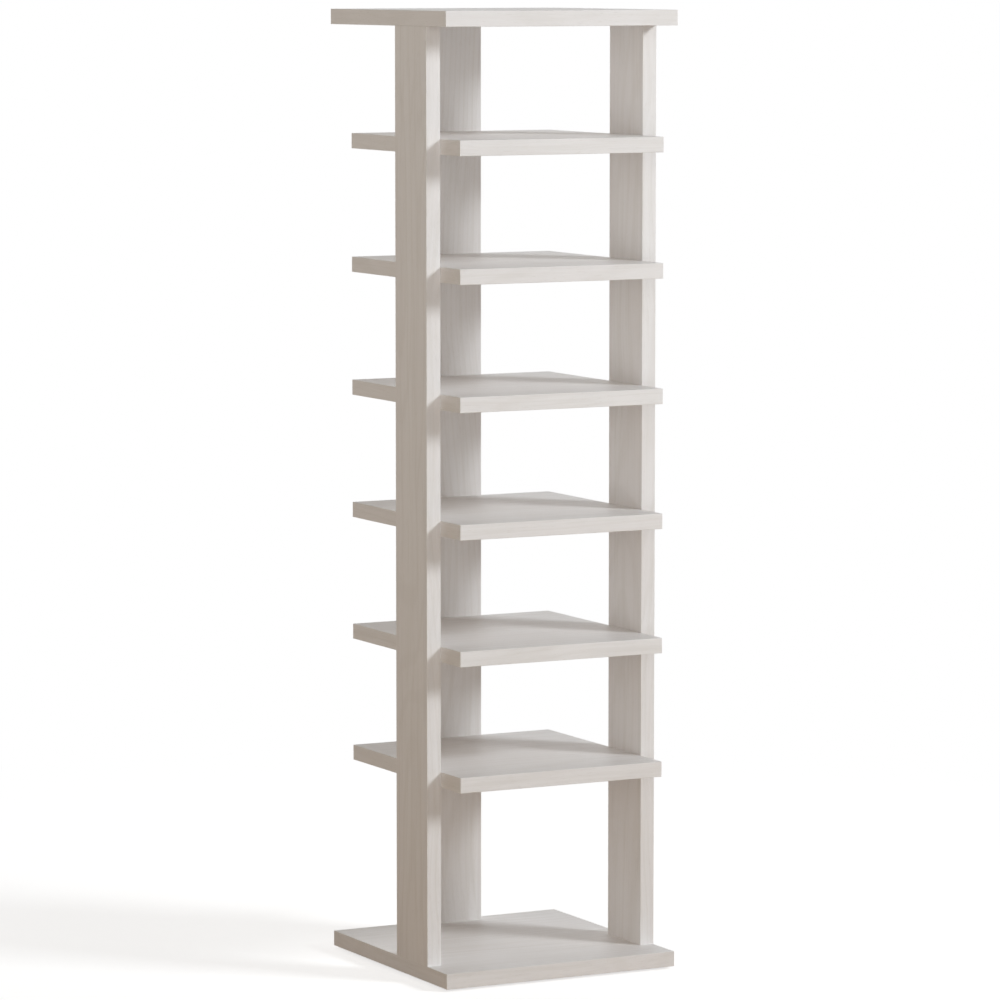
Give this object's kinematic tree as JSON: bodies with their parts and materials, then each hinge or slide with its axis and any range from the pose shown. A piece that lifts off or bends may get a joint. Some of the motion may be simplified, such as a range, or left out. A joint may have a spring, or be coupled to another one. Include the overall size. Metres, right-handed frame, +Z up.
{
  "type": "shoe rack",
  "caption": "Tall narrow free-standing shoe rack of pale wood-grain boards: square base and top panels and open shelves held by flat uprights at both sides and the back.",
  "frame": {"origin": "on the floor under the middle of the rack", "axes": "+Z up, +Y to the back, +X to the right as seen from the open front"},
  "size_m": [0.3, 0.3, 1.124],
  "materials": {
    "board": "off-white wood-grain melamine, matt",
    "edge_band": "off-white wood-grain edge band, matt",
    "plated_steel": "zinc-plated steel",
    "zinc": "die-cast zinc",
    "beech": "bare beech",
    "cap_plastic": "off-white moulded plastic",
    "glide_plastic": "pale grey moulded plastic"
  },
  "bodies": {
    "root": {"base_panel": "board", "base_edge_bands": "edge_band", "top_panel": "board", "top_edge_bands": "edge_band", "left_upright": "board", "left_edge_bands": "edge_band", "right_upright": "board", "right_edge_bands": "edge_band", "back_upright": "board", "back_edge_bands": "edge_band", "shelf_1": "board", "shelf_1_edge_bands": "edge_band", "shelf_1_cam_bolts": "plated_steel", "shelf_1_cam_locks": "zinc", "shelf_1_cam_caps": "cap_plastic", "shelf_1_dowels": "beech", "shelf_2": "board", "shelf_2_edge_bands": "edge_band", "shelf_2_cam_bolts": "plated_steel", "shelf_2_cam_locks": "zinc", "shelf_2_cam_caps": "cap_plastic", "shelf_2_dowels": "beech", "shelf_3": "board", "shelf_3_edge_bands": "edge_band", "shelf_3_cam_bolts": "plated_steel", "shelf_3_cam_locks": "zinc", "shelf_3_cam_caps": "cap_plastic", "shelf_3_dowels": "beech", "shelf_4": "board", "shelf_4_edge_bands": "edge_band", "shelf_4_cam_bolts": "plated_steel", "shelf_4_cam_locks": "zinc", "shelf_4_cam_caps": "cap_plastic", "shelf_4_dowels": "beech", "shelf_5": "board", "shelf_5_edge_bands": "edge_band", "shelf_5_cam_bolts": "plated_steel", "shelf_5_cam_locks": "zinc", "shelf_5_cam_caps": "cap_plastic", "shelf_5_dowels": "beech", "shelf_6": "board", "shelf_6_edge_bands": "edge_band", "shelf_6_cam_bolts": "plated_steel", "shelf_6_cam_locks": "zinc", "shelf_6_cam_caps": "cap_plastic", "shelf_6_dowels": "beech", "top_screws": "plated_steel", "top_screw_caps": "cap_plastic", "top_dowels": "beech", "base_screws": "plated_steel", "base_dowels": "beech", "foot_glides": "glide_plastic", "glide_nails": "plated_steel"}
  },
  "joints": []
}
